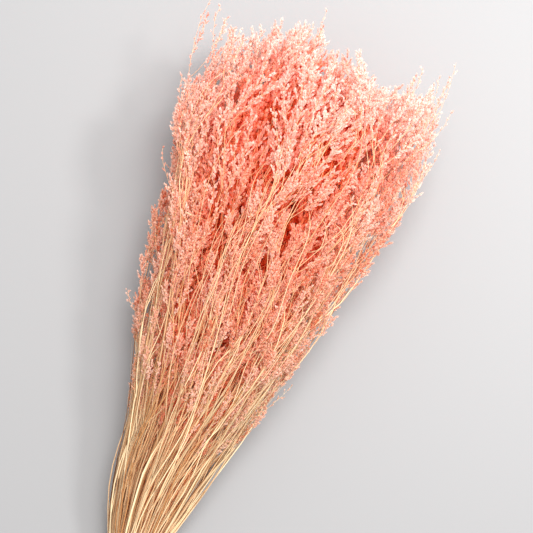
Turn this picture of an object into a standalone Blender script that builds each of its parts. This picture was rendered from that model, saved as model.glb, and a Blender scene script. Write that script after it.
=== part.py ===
"""A bundle of dried, dyed love grass lying on a table, as solids.

Each stem grows with its own branched spray, and a twine tie holds the stems near their cut ends.
Units are metres. +Z is up and +Y runs from the cut ends to the flower tips. The origin is on the
table, under the middle of the bundle's bounding box. A station is a distance from the cut ends.
"""

import math
import random
from bisect import bisect_right

import bmesh
import bpy
from mathutils import Matrix, Vector

GOLDEN_ANGLE = math.pi * (3.0 - math.sqrt(5.0))

# The bundle's outline: each row is a station, and the half width and half height there.
# At the tie the stems are packed tight, so the outline there follows from their pitch.
BUNDLE_LENGTH = 0.635
BOX_MIDDLE_X = 0.0043
BOX_MIDDLE_STATION = 0.3149
CUT_ENDS = (0.0, 0.0200, 0.0165)
TIE_STATION = 0.058
STEM_PITCH_AT_TIE = 0.0029
OUTLINE_AHEAD_OF_TIE = (
    (0.135, 0.0350, 0.0240),
    (0.190, 0.0490, 0.0330),
    (0.227, 0.0560, 0.0380),
    (0.319, 0.0800, 0.0500),
    (0.411, 0.1000, 0.0610),
    (0.531, 0.1220, 0.0700),
    (0.595, 0.1180, 0.0680),
    (0.635, 0.1100, 0.0640),
)

# How the bundle lies: the tie and the lowest florets touch the table, and from FLAT_FROM on
# the underside is flat over FLAT_SHARE of the width.
TIE_LIFT_LENGTH = 0.05
FLAT_SHARE = 0.6
FLAT_FROM = 0.30
SPRAY_LIFT = 0.0004

# Places of the stems in the bundle, in a unit disc
STEM_COUNT = 38
STEM_SPACING = 0.28
SPACING_ROUNDS = 150
LAYOUT_TURN_DEG = 12.0
SEED = 100

# Stems: a slight wave, in the unit disc, fades in over WAVE_FADE on either side of the tie
STEM_SIDES = 3
STEM_RADIUS_AT_CUT = 0.0015
STEM_RADIUS_AT_SPRAY = 0.0010
STEM_RADIUS_AT_TIP = 0.0007
BARE_STATIONS = (0.0, 0.030, TIE_STATION - 0.006, TIE_STATION + 0.006, 0.095, 0.150, 0.200)
WAVE = 0.040
WAVE_LENGTH = 0.25
WAVE_FADE = 0.10

# Tips: the inner stems reach the top, and the outer ones end in turn at these shares of the length
INNER_SHARE = 0.6
INNER_TIP_DROP = 0.045
OUTER_TIPS = (0.96, 0.80, 0.90, 0.72, 0.93, 0.84)
OUTER_TIP_SPREAD = 0.02

# Sprays and their side branches
SPRAY_LENGTH = 0.31
LOWEST_SPRAY = 0.255
SPRAY_START_SPREAD = 0.012
BRANCH_SPACING = 0.038
NODE_LENGTH = 0.0030
BRANCH_LENGTH = 0.075
BRANCH_RADIUS_AT_NODE = 0.00055
BRANCH_RADIUS = 0.0009
BRANCH_STEPS = (0.08, 0.34, 0.56, 0.78, 1.0)
BRANCH_REACH = 0.68
FIRST_REACH = 0.45
OUTWARD_BONUS = 1.6
LAST_BRANCH = 0.058
BRANCHES_END = 0.014
SPIKE_STATIONS = (0.034, 0.018)

# Florets, larger than life so that they cover the sprays
FLORET_OUT = 0.0042
FLORET_AHEAD = 0.0085
FLORET_SPREAD = (0.85, 1.1)
FULL_FLORET_STRETCH = 0.013
SPIKE_FLORET_SIZE = 0.7

# Twine tie, its knot and the knot's two short ends, turned from straight up
TWINE_DIAMETER = 0.0020
TWINE_TURNS = 4
TWINE_CREST = 0.44
TWINE_GROOVE = 0.6
TIE_CLEARANCE = 0.0004
TIE_FACETS = 18
KNOT_TURN_DEG = 40.0
KNOT_SIZE = (0.0036, 0.0032, 0.0026)
END_LENGTHS = (0.017, 0.021)
END_TURNS_DEG = (-38.0, 46.0)
END_CURL = 0.35
END_SIDES = 6

DYED_GRASS = (0.86, 0.42, 0.33)
JUTE = (0.55, 0.40, 0.24)


def smooth_curve(xs, ys):
    """A curve through the points that doesn't overshoot them, as a function of x."""
    steps = [after - before for before, after in zip(xs, xs[1:])]
    rises = [(after - before) / step for before, after, step in zip(ys, ys[1:], steps)]
    slopes = [rises[0]]
    for before, after in zip(rises, rises[1:]):
        slopes.append(2 * before * after / (before + after) if before * after > 0 else 0.0)
    slopes.append(rises[-1])

    def value(x):
        i = min(max(bisect_right(xs, x) - 1, 0), len(steps) - 1)
        t = min(max((x - xs[i]) / steps[i], 0.0), 1.0)
        ends = ys[i] * (1 + 2 * t) * (1 - t) ** 2 + ys[i + 1] * t * t * (3 - 2 * t)
        bends = slopes[i] * t * (1 - t) ** 2 - slopes[i + 1] * t * t * (1 - t)
        return ends + steps[i] * bends

    return value


def stem_spots():
    """Each stem's place in the unit disc: a sunflower's seeds, pushed apart until they are evenly spaced."""
    rim = 1.0 - STEM_SPACING / 2
    spots = []
    for i in range(STEM_COUNT):
        radius = rim * math.sqrt((i + 0.5) / STEM_COUNT)
        angle = i * GOLDEN_ANGLE + math.radians(LAYOUT_TURN_DEG)
        spots.append(radius * Vector((math.cos(angle), math.sin(angle))))
    for _ in range(SPACING_ROUNDS):
        for i, one in enumerate(spots):
            for other in spots[:i]:
                apart = one - other
                push = 0.25 * max(STEM_SPACING - apart.length, 0.0) * apart.normalized()
                one += push
                other -= push
        for spot in spots:
            spot *= min(1.0, rim / spot.length)
    return spots


class Bundle:
    """Maps a place in the unit disc, (across, up), and a station to a point in space.
    Stems that keep their place in the disc never cross."""

    def __init__(self):
        self.spots = stem_spots()
        spacing = min((a - b).length for i, a in enumerate(self.spots) for b in self.spots[:i])
        self.cell = spacing / 2
        self.waist = STEM_PITCH_AT_TIE / spacing
        rows = (CUT_ENDS, (TIE_STATION, self.waist, self.waist), *OUTLINE_AHEAD_OF_TIE)
        stations, widths, heights = zip(*rows)
        self.width = smooth_curve(stations, widths)
        self.height = smooth_curve(stations, heights)
        rim = max(spot.length for spot in self.spots)
        self.tie_inner = self.waist * rim + STEM_RADIUS_AT_CUT + TIE_CLEARANCE
        self.tie_outer = self.tie_inner + TWINE_DIAMETER

    def pressed(self, station):
        """How far the table shapes the bundle: not at the tie, and fully under the sprays."""
        share = min(max((station - TIE_STATION) / (FLAT_FROM - TIE_STATION), 0.0), 1.0)
        return share * share * (3 - 2 * share)

    def middle(self, station):
        """Height of the bundle's middle above the table."""
        near_tie = math.exp(-(((station - TIE_STATION) / TIE_LIFT_LENGTH) ** 2))
        lift = (self.tie_outer - self.waist) * near_tie + SPRAY_LIFT * self.pressed(station)
        return self.height(station) + lift

    def point(self, spot, station):
        across, up = spot
        if up < 0:
            held = min(abs(across), FLAT_SHARE)
            up /= (1.0 - held * held) ** (0.5 * self.pressed(station))
        x = self.width(station) * across - BOX_MIDDLE_X
        z = self.middle(station) + self.height(station) * up
        return Vector((x, station - BOX_MIDDLE_STATION, z))


def ring_points(centre, direction, radius, sides, first):
    """Corners of a ring square to direction. The first corner points as near to first as it can."""
    across = (first - direction * first.dot(direction)).normalized()
    other = direction.cross(across)
    turns = [math.tau * k / sides for k in range(sides)]
    return [centre + radius * (math.cos(t) * across + math.sin(t) * other) for t in turns]


def grow(bm, face, path, radii, outward=None):
    """Extrudes face along the path, with a ring at each point, and returns the side faces of each stretch
    and the last face. Where outward is given, one corner of each ring points that way."""
    stretches = []
    centre = face.calc_center_median()
    for i, (point, radius) in enumerate(zip(path, radii)):
        ahead = path[min(i + 1, len(path) - 1)]
        direction = (ahead - centre).normalized()
        face = bmesh.ops.extrude_discrete_faces(bm, faces=[face])["faces"][0]
        verts = list(face.verts)
        first = outward if outward else verts[0].co - centre
        ring = ring_points(point, direction, radius, len(verts), first)
        turned = [ring[k:] + ring[:k] for k in range(len(ring))]
        corners = min(turned, key=lambda corners: sum((c - v.co).length for c, v in zip(corners, verts)))
        for vert, corner in zip(verts, corners):
            vert.co = corner
        stretches.append([side for edge in face.edges for side in edge.link_faces if side is not face])
        centre = point
    return stretches, face


def draw_out(bm, face, apex):
    """Pulls the middle of a face out to a point, as a floret or as the tip of a shoot."""
    middle = bmesh.ops.poke(bm, faces=[face])["verts"][0]
    middle.co = apex


def add_florets(bm, sides, stretch, size, rng):
    """A pointed floret on each of these side faces of a stretch, leaning ahead."""
    for side in sides:
        side.normal_update()
        lean = FLORET_OUT * side.normal + FLORET_AHEAD * stretch.normalized()
        draw_out(bm, side, side.calc_center_median() + size * rng.uniform(*FLORET_SPREAD) * lean)


def branch_path(bundle, stem, start, azimuth, length):
    """A side branch's points: it swings out inside its own stem's cell and then runs beside the stem.
    The first point stands well off the stem, so the two only meet at the node."""
    side = Vector((math.cos(azimuth), math.sin(azimuth)))
    across, up = stem(start)
    free = max(side.dot(Vector((across, max(up, 0.0)))), 0.0)
    reach = BRANCH_REACH * bundle.cell * (1.0 + OUTWARD_BONUS * free**4)
    path = []
    for step in BRANCH_STEPS:
        swing = FIRST_REACH + (1.0 - FIRST_REACH) * (1.0 - (1.0 - step) ** 1.8)
        station = start + length * step
        path.append(bundle.point(stem(station) + reach * swing * side, station))
    return path


def add_branch(bm, node_side, path, outward, rng):
    base = bmesh.ops.triangulate(bm, faces=[node_side])["faces"][0]
    rings = path[:-1]
    taper = [BRANCH_RADIUS_AT_NODE] + [BRANCH_RADIUS * (1.0 - 0.1 * k) for k in range(len(rings) - 1)]
    stretches, end = grow(bm, base, rings, taper, outward)
    for k in range(1, len(rings)):
        stretch = rings[k] - rings[k - 1]
        for side in stretches[k]:
            side.normal_update()
        # The side that faces the stem stays bare, so that no floret reaches the stem's own.
        outer = sorted(stretches[k], key=lambda side: side.normal.dot(outward))[1:]
        add_florets(bm, outer, stretch, min(1.0, stretch.length / FULL_FLORET_STRETCH), rng)
    draw_out(bm, end, path[-1])


def stem_stations(tip, rng):
    """Where a stem's rings stand, and which of its stretches are the short ones that branches leave."""
    start = max(tip - SPRAY_LENGTH, LOWEST_SPRAY) + rng.uniform(-SPRAY_START_SPREAD, SPRAY_START_SPREAD)
    last = tip - LAST_BRANCH
    gaps = max(1, round((last - start) / BRANCH_SPACING))
    stations = list(BARE_STATIONS)
    nodes = []
    for k in range(gaps + 1):
        station = start + (last - start) * k / gaps
        nodes.append(len(stations))
        stations += [station, station + NODE_LENGTH]
    stations += [tip - back for back in SPIKE_STATIONS]
    return stations, nodes


def stem_radius(station, tip):
    """Thick over the first fifth, then tapering to the middle, and more slowly to the tip."""
    share = station / tip
    if share < 0.5:
        faded = max(0.0, share - 0.2) / 0.3
        return STEM_RADIUS_AT_CUT + (STEM_RADIUS_AT_SPRAY - STEM_RADIUS_AT_CUT) * faded
    return STEM_RADIUS_AT_SPRAY + (STEM_RADIUS_AT_TIP - STEM_RADIUS_AT_SPRAY) * (share - 0.5) / 0.5


def tip_station(index):
    rng = random.Random(SEED * 70 + index)
    if math.sqrt((index + 0.5) / STEM_COUNT) < INNER_SHARE:
        return BUNDLE_LENGTH - rng.uniform(0.0, INNER_TIP_DROP)
    share = OUTER_TIPS[index % len(OUTER_TIPS)]
    return BUNDLE_LENGTH * (share + rng.uniform(-OUTER_TIP_SPREAD, OUTER_TIP_SPREAD))


def grass_stem(bundle, index):
    """One stem with its branched spray, as one closed mesh."""
    rng = random.Random(SEED + index)
    spot = bundle.spots[index]
    tip = tip_station(index)
    phase = rng.uniform(0.0, math.tau)

    def stem(station):
        fade = min(abs(station - TIE_STATION) / WAVE_FADE, 1.0)
        turn = math.tau * station / WAVE_LENGTH + phase
        return spot + WAVE * fade * fade * Vector((math.sin(turn), 0.4 * math.cos(1.3 * turn)))

    stations, nodes = stem_stations(tip, rng)
    path = [bundle.point(stem(station), station) for station in stations]
    radii = [stem_radius(station, tip) for station in stations]
    top = bundle.point(stem(tip), tip)

    bm = bmesh.new()
    ring = ring_points(path[0], Vector((0, 1, 0)), radii[0], STEM_SIDES, Vector((0, 0, 1)))
    cut = [bm.verts.new(corner) for corner in ring]
    stretches, end = grow(bm, bm.faces.new(cut), path[1:], radii[1:])
    bm.faces.new(reversed(cut))
    for sides in stretches[-len(SPIKE_STATIONS) :]:
        add_florets(bm, sides, top - path[-1], SPIKE_FLORET_SIZE, rng)
    draw_out(bm, end, top)

    azimuth = rng.uniform(0.0, math.tau)
    for node in nodes:
        azimuth += GOLDEN_ANGLE
        start = stations[node]
        across = bundle.width(start) * math.cos(azimuth)
        up = bundle.height(start) * math.sin(azimuth)
        outward = Vector((across, 0.0, up)).normalized()
        for side in stretches[node]:
            side.normal_update()
        node_side = max(stretches[node], key=lambda side: side.normal.dot(outward))
        length = min(BRANCH_LENGTH * rng.uniform(0.85, 1.1), tip - BRANCHES_END - start)
        add_branch(bm, node_side, branch_path(bundle, stem, start, azimuth, length), outward, rng)
    return as_mesh(bm, f"grass_stem_{index + 1:02d}")


def twine_turns(bundle):
    """Turns of twine side by side, tight round the stems. Under the bundle they are pressed to one flat."""
    half = TWINE_TURNS * TWINE_DIAMETER / 2
    crest = bundle.tie_outer
    groove = crest - TWINE_GROOVE * TWINE_DIAMETER
    profile = [(half, bundle.tie_inner), (-half, bundle.tie_inner)]
    for turn in range(TWINE_TURNS):
        left = -half + turn * TWINE_DIAMETER
        margin = (1.0 - TWINE_CREST) / 2 * TWINE_DIAMETER
        profile += [(left, groove), (left + margin, crest), (left + TWINE_DIAMETER - margin, crest)]
    profile.append((half, groove))

    bm = bmesh.new()
    # The corners stand out a little, so that the middle of each facet is at the twine's radius.
    out = 1.0 / math.cos(math.pi / TIE_FACETS)
    rings = []
    for k in range(TIE_FACETS):
        angle = math.tau * (k + 0.5) / TIE_FACETS
        underneath = k in (0, TIE_FACETS - 1)
        ring = []
        for y, radius in profile:
            reach = out * (crest if underneath and radius == groove else radius)
            ring.append(bm.verts.new((reach * math.sin(angle), y, -reach * math.cos(angle))))
        rings.append(ring)
    for k, here in enumerate(rings):
        there = rings[(k + 1) % TIE_FACETS]
        for j in range(len(profile)):
            after = (j + 1) % len(profile)
            bm.faces.new((here[after], here[j], there[j], there[after]))
    return as_mesh(bm, "twine_tie")


def twine_knot():
    bm = bmesh.new()
    bmesh.ops.create_icosphere(bm, subdivisions=2, radius=1.0, matrix=Matrix.Diagonal((*KNOT_SIZE, 1.0)))
    return as_mesh(bm, "knot")


def twine_end(length, turn):
    """A short stiff end of twine from the middle of the knot, up and to one side, curling a little."""
    path = []
    for share in (0.35, 0.7, 1.0):
        angle = turn * (1.0 + END_CURL * share)
        path.append(length * share * Vector((math.sin(angle), 0.0, math.cos(angle))))
    radius = TWINE_DIAMETER / 2
    bm = bmesh.new()
    ring = ring_points(Vector((0, 0, 0)), path[0].normalized(), radius, END_SIDES, Vector((0, 1, 0)))
    start = [bm.verts.new(corner) for corner in ring]
    grow(bm, bm.faces.new(start), path, [radius] * len(path))
    bm.faces.new(reversed(start))
    return as_mesh(bm, "end")


def as_mesh(bm, name):
    mesh = bpy.data.meshes.new(name)
    bm.to_mesh(mesh)
    bm.free()
    return mesh


def place(mesh, surface, location=(0.0, 0.0, 0.0)):
    obj = bpy.data.objects.new(mesh.name, mesh)
    obj.location = location
    mesh.materials.append(surface)
    bpy.context.scene.collection.objects.link(obj)
    return obj


def add_twine_tie(bundle, twine):
    """The turns with the knot and its two ends, joined into one solid."""
    middle = bundle.point(Vector((0.0, 0.0)), TIE_STATION)
    turn = math.radians(KNOT_TURN_DEG)
    knot_height = bundle.tie_outer + 0.4 * KNOT_SIZE[2]
    knot_spot = middle + knot_height * Vector((math.sin(turn), 0.0, math.cos(turn)))
    tie = place(twine_turns(bundle), twine, middle)
    pieces = [place(twine_knot(), twine, knot_spot)]
    for length, degrees in zip(END_LENGTHS, END_TURNS_DEG):
        pieces.append(place(twine_end(length, math.radians(degrees)), twine, knot_spot))
    group = bpy.data.collections.new("knot")
    for piece in pieces:
        piece.rotation_euler.y = turn
        group.objects.link(piece)
    union = tie.modifiers.new("knot", "BOOLEAN")
    union.operation = "UNION"
    union.operand_type = "COLLECTION"
    union.collection = group
    union.solver = "EXACT"
    bpy.context.view_layer.objects.active = tie
    bpy.ops.object.modifier_apply(modifier=union.name)
    for piece in pieces:
        bpy.data.objects.remove(piece)


def material(name, colour, roughness):
    made = bpy.data.materials.new(name)
    made.use_nodes = True
    shader = made.node_tree.nodes["Principled BSDF"]
    shader.inputs["Base Color"].default_value = (*colour, 1.0)
    shader.inputs["Roughness"].default_value = roughness
    return made


def main():
    for obj in list(bpy.data.objects):
        bpy.data.objects.remove(obj)
    bundle = Bundle()
    grass = material("dyed_grass", DYED_GRASS, 0.75)
    twine = material("jute_twine", JUTE, 0.9)
    for index in range(STEM_COUNT):
        place(grass_stem(bundle, index), grass)
    add_twine_tie(bundle, twine)


main()
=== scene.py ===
# Bundle of dried love grass: dyed sprays on straw stems, tied with jute twine, lying on a pale table.
# Metres. +Y runs from the cut ends to the flower tips. A station is a distance from the cut ends.
from math import cos, pi, radians, sin, sqrt, tau
from random import Random

import bpy
import numpy as np
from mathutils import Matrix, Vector


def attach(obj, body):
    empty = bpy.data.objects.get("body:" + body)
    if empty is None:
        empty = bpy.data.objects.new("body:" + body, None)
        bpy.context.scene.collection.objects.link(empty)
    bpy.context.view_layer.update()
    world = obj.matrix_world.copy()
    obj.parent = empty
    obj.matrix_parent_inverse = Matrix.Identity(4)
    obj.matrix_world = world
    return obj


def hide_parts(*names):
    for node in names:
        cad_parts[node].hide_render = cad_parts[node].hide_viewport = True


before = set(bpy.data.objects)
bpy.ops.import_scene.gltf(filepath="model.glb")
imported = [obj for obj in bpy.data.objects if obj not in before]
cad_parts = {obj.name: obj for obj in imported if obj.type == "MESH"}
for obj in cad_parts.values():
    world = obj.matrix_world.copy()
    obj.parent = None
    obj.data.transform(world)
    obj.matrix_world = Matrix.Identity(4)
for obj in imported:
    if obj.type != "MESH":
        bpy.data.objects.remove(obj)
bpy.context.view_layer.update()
scene = bpy.context.scene
print("frame loaded:", len(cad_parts), "solids")

goldenAngle = pi * (3 - sqrt(5))


# The bundle's form, with the solids' own numbers. A place in it is a spot in a unit disc and a station.
bundle = {
    "length": 0.635,
    "boxMiddleX": 0.0043,
    "boxMiddleStation": 0.3149,
    "tieStation": 0.058,
    "stemPitchAtTie": 0.0029,
    "cutEnds": (0.0, 0.0200, 0.0165),  # station, half width, half height, as in each row of the outline
    "outline": (
        (0.135, 0.0350, 0.0240),
        (0.190, 0.0490, 0.0330),
        (0.227, 0.0560, 0.0380),
        (0.319, 0.0800, 0.0500),
        (0.411, 0.1000, 0.0610),
        (0.531, 0.1220, 0.0700),
        (0.595, 0.1180, 0.0680),
        (0.635, 0.1100, 0.0640),
    ),
    "tieLiftLength": 0.05,
    "flatShare": 0.6,  # of the half width is pressed flat on the table
    "flatFrom": 0.30,
    "sprayLift": 0.0004,
    "stemCount": 38,
    "stemSpacing": 0.28,
    "spacingRounds": 150,
    "spacingPush": 0.25,
    "layoutTurn": radians(12),
    "seed": 100,
    "tipSeed": 7000,
    "stemRadiusAtCut": 0.0015,
    "twineDiameter": 0.0020,
    "tieClearance": 0.0004,
    "wave": 0.040,  # how far a stem waves sideways, in the unit disc
    "waveUp": 0.4,  # and up, as a share of that
    "waveUpTurns": 1.3,  # for each turn sideways
    "waveLength": 0.25,
    "waveFade": 0.10,
    "innerShare": 0.6,
    "innerTipDrop": 0.045,
    "outerTips": (0.96, 0.80, 0.90, 0.72, 0.93, 0.84),
    "outerTipSpread": 0.02,
    "sprayLength": 0.31,
    "lowestSpray": 0.255,
    "sprayStartSpread": 0.012,
}


def smoothCurve(xs, ys):  # through the points without overshooting them
    xs, ys = np.array(xs), np.array(ys)
    steps = np.diff(xs)
    rises = np.diff(ys) / steps
    product = rises[:-1] * rises[1:]
    bothWays = np.where(product > 0, rises[:-1] + rises[1:], 1.0)
    slopes = np.concatenate((rises[:1], np.where(product > 0, 2 * product / bothWays, 0.0), rises[-1:]))

    def value(x):
        i = np.clip(np.searchsorted(xs, x, side="right") - 1, 0, len(steps) - 1)
        t = np.clip((x - xs[i]) / steps[i], 0, 1)
        ends = ys[i] * (1 + 2 * t) * (1 - t) ** 2 + ys[i + 1] * t * t * (3 - 2 * t)
        bends = slopes[i] * t * (1 - t) ** 2 - slopes[i + 1] * t * t * (1 - t)
        return ends + steps[i] * bends

    return value


def stemSpots():  # a sunflower's seeds in a unit disc, pushed apart until they are evenly spaced
    spacing, count = bundle["stemSpacing"], bundle["stemCount"]
    rim = 1 - spacing / 2
    spots = []
    for i in range(count):
        radius = rim * sqrt((i + 0.5) / count)
        angle = i * goldenAngle + bundle["layoutTurn"]
        spots.append(radius * Vector((cos(angle), sin(angle))))
    for _ in range(bundle["spacingRounds"]):
        for i, one in enumerate(spots):
            for other in spots[:i]:
                apart = one - other
                push = bundle["spacingPush"] * max(spacing - apart.length, 0.0) * apart.normalized()
                one += push
                other -= push
        for spot in spots:
            spot *= min(1.0, rim / spot.length)
    return spots


spots = stemSpots()
spotSpacing = min((a - b).length for i, a in enumerate(spots) for b in spots[:i])
cell = spotSpacing / 2
waist = bundle["stemPitchAtTie"] / spotSpacing
outlineRows = (bundle["cutEnds"], (bundle["tieStation"], waist, waist), *bundle["outline"])
halfWidth = smoothCurve([row[0] for row in outlineRows], [row[1] for row in outlineRows])
halfHeight = smoothCurve([row[0] for row in outlineRows], [row[2] for row in outlineRows])
tieInner = waist * max(spot.length for spot in spots) + bundle["stemRadiusAtCut"] + bundle["tieClearance"]
tieOuter = tieInner + bundle["twineDiameter"]


def ramp(value, start, length):  # 0 up to the start, then evenly to 1
    return np.clip((value - start) / length, 0, 1)


def eased(share):
    return share * share * (3 - 2 * share)


def hump(station, at, length):
    return np.exp(-(((station - at) / length) ** 2))


def middleHeight(station):
    tied = bundle["tieStation"]
    pressed = eased(ramp(station, tied, bundle["flatFrom"] - tied))
    atTie = hump(station, tied, bundle["tieLiftLength"])
    lift = (tieOuter - waist) * atTie + bundle["sprayLift"] * pressed
    return halfHeight(station) + lift, pressed


bareDrift = {"by": 0.0035, "station": 0.17, "length": 0.055}  # the bare stems sag a little to the left


def pointAt(across, up, station):  # a place in the unit disc, and a station, to a point in space
    middle, pressed = middleHeight(station)
    held = np.minimum(np.abs(across), bundle["flatShare"])
    up = np.where(up < 0, up / (1 - held**2) ** (0.5 * pressed), up)
    x = halfWidth(station) * across - bundle["boxMiddleX"]
    x = x - bareDrift["by"] * hump(station, bareDrift["station"], bareDrift["length"])
    y = station - bundle["boxMiddleStation"]
    return np.stack((x, y + 0 * x, middle + halfHeight(station) * up), -1)


rimEase = {"from": 0.84, "room": 0.14}  # radii in the unit disc


def insideDisc(across, up):  # eases what strays past the bundle's outline back inside it
    radius = np.sqrt(across**2 + up**2)
    eased = rimEase["from"] + rimEase["room"] * np.tanh((radius - rimEase["from"]) / rimEase["room"])
    share = np.where(radius > rimEase["from"], eased / np.maximum(radius, 1e-6), 1.0)
    return across * share, up * share


# The crown's outline across the bundle: how far the tips reach at each distance from the axis.
crown = smoothCurve(
    (-0.128, -0.116, -0.104, -0.098, -0.075, -0.035, 0.000, 0.030, 0.050, 0.085, 0.098, 0.112, 0.122),
    (0.528, 0.540, 0.552, 0.588, 0.610, 0.637, 0.615, 0.613, 0.604, 0.622, 0.611, 0.570, 0.548),
)


def tipStation(index):  # the inner stems reach the top, and the outer ones end in turn
    rng = Random(bundle["tipSeed"] + index)
    if sqrt((index + 0.5) / bundle["stemCount"]) < bundle["innerShare"]:
        return bundle["length"] - rng.uniform(0.0, bundle["innerTipDrop"])
    share = bundle["outerTips"][index % len(bundle["outerTips"])]
    return bundle["length"] * (share + rng.uniform(-bundle["outerTipSpread"], bundle["outerTipSpread"]))


def unit(vectors):
    return vectors / np.linalg.norm(vectors, axis=-1, keepdims=True)


class Parts:  # gathers tubes and spikelets as arrays, to be made into one mesh
    def __init__(self):
        self.points = []
        self.faces = []  # one batch at a time: corners, material slot, bake cells, places in them, tones
        self.pointCount = 0
        self.cellCount = 0

    def add(self, points, corners, slot, cells, *pairs):
        size = corners.shape[-1]
        cells = np.broadcast_to(cells, corners.shape[:-1]).reshape(-1)
        pairs = [np.broadcast_to(pair, (*corners.shape, 2)).reshape(-1, size, 2) for pair in pairs]
        corners = corners.reshape(-1, size) + self.pointCount
        self.faces.append((corners, slot, cells + self.cellCount, *pairs))
        self.points.append(points.reshape(-1, 3))
        self.pointCount += points.size // 3
        self.cellCount += int(cells.max()) + 1


bakeCell = {"filled": 0.92, "corner": 0.02}  # how much of its square in the bake map each strip takes


def tubes(parts, paths, radii, sides, slot, tones, roll=0.0, flatness=1.0, capped=False,
          upright=(0.2, 0.0, 1.0)):
    # paths are (tube, ring, 3), radii (tube, ring) and tones (tube, 2) or (tube, ring, 2)
    count, rings = paths.shape[:2]
    ahead = unit(np.gradient(paths, axis=1))
    level = unit(np.cross(ahead, upright))
    rising = np.cross(ahead, level)
    side = cos(roll) * level + sin(roll) * rising
    other = flatness * (cos(roll) * rising - sin(roll) * level)
    turns = tau * np.arange(sides) / sides
    ring = np.cos(turns)[:, None] * side[:, :, None] + np.sin(turns)[:, None] * other[:, :, None]
    points = paths[:, :, None] + radii[:, :, None, None] * ring
    at = np.arange(count * rings * sides).reshape(count, rings, sides)
    after = np.roll(at, -1, axis=2)
    quads = np.stack((at[:, :-1], after[:, :-1], after[:, 1:], at[:, 1:]), -1)
    left = np.arange(sides) / sides
    right = left + bakeCell["filled"] / sides
    lower, upper = 0 * left, 0 * left + bakeCell["filled"]
    strip = ((left, lower), (right, lower), (right, upper), (left, upper))
    uv = np.stack([np.stack(corner, -1) for corner in strip], 1)
    if tones.ndim == 2:
        tones = np.broadcast_to(tones[:, None], (count, rings, 2))
    tone = np.stack((tones[:, :-1], tones[:, :-1], tones[:, 1:], tones[:, 1:]), 2)
    cells = np.arange(count * (rings - 1)).reshape(count, rings - 1, 1)
    parts.add(points, quads, slot, cells, uv, tone[:, :, None])
    if capped:
        middles = paths[:, 0] + ahead[:, 0] * radii[:, :1] * 0.6  # a cut end is a little hollow
        points = np.concatenate((points[:, 0], middles[:, None]), 1)
        at = np.arange(count * (sides + 1)).reshape(count, sides + 1)
        rim = at[:, :-1]
        triangles = np.stack((np.roll(rim, -1, axis=1), rim, np.broadcast_to(at[:, -1:], rim.shape)), -1)
        half = bakeCell["filled"] / 2
        onRim = half + half * np.stack((np.cos(turns), np.sin(turns)), -1)
        fan = np.stack((np.roll(onRim, -1, axis=0), onRim, np.full((sides, 2), half)), 1)
        parts.add(points, triangles, slot, np.arange(count)[:, None], fan, tones[:, :1, None])


spikeletForm = {
    "widestAt": 0.45,  # share of its length
    "bulge": 0.28,  # how far a bract's edges stand off the axis, in widths
    "open": 0.20,  # how far a bract's tip stands off the axis, in lengths
}


def spikelets(parts, bases, ahead, lengths, widths, rolls, slot, tones, bracts):
    # each is two or three papery bracts, folded along the middle, that open from one base
    count = len(bases)
    side = unit(np.cross(ahead, (0.2, 0.1, 1.0)))
    other = np.cross(ahead, side)
    turns = rolls[:, None] + tau * np.arange(bracts) / bracts
    out = np.cos(turns)[..., None] * side[:, None] + np.sin(turns)[..., None] * other[:, None]
    along = np.cross(out, ahead[:, None])  # across each bract
    length = lengths[:, None, None]
    width = widths[:, None, None]
    middle = bases[:, None] + spikeletForm["widestAt"] * length * ahead[:, None]
    keel = spikeletForm["bulge"] * width * out
    left = middle + keel + 0.5 * width * along
    right = middle + keel - 0.5 * width * along
    tip = bases[:, None] + length * ahead[:, None] + spikeletForm["open"] * length * out
    fan = np.stack((left, tip, right), 2).reshape(count, -1, 3)
    points = np.concatenate((bases[:, None], fan), 1)
    at = np.arange(count * (3 * bracts + 1)).reshape(count, -1)
    base = np.broadcast_to(at[:, :1], (count, bracts))
    atLeft, atTip, atRight = (at[:, 1 + k :: 3] for k in range(3))
    triangles = np.concatenate(
        (np.stack((base, atLeft, atTip), -1), np.stack((base, atTip, atRight), -1)), 1)
    column = np.arange(bracts) / bracts  # in the bake map, one column for each bract
    half = 0.45 / bracts
    corners = ((column + half, 0.0), (column, 0.45), (column + half, 0.94), (column + 2 * half, 0.45))
    foot, leftUv, head, rightUv = (np.stack(np.broadcast_arrays(*corner), -1) for corner in corners)
    uv = np.concatenate((np.stack((foot, leftUv, head), 1), np.stack((foot, head, rightUv), 1)))
    parts.add(points, triangles, slot, np.arange(count)[:, None], uv, tones[:, None, None])


tableContact = {"lowest": 0.0004, "softness": 0.0015}  # how the table turns up what would sink into it


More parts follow.
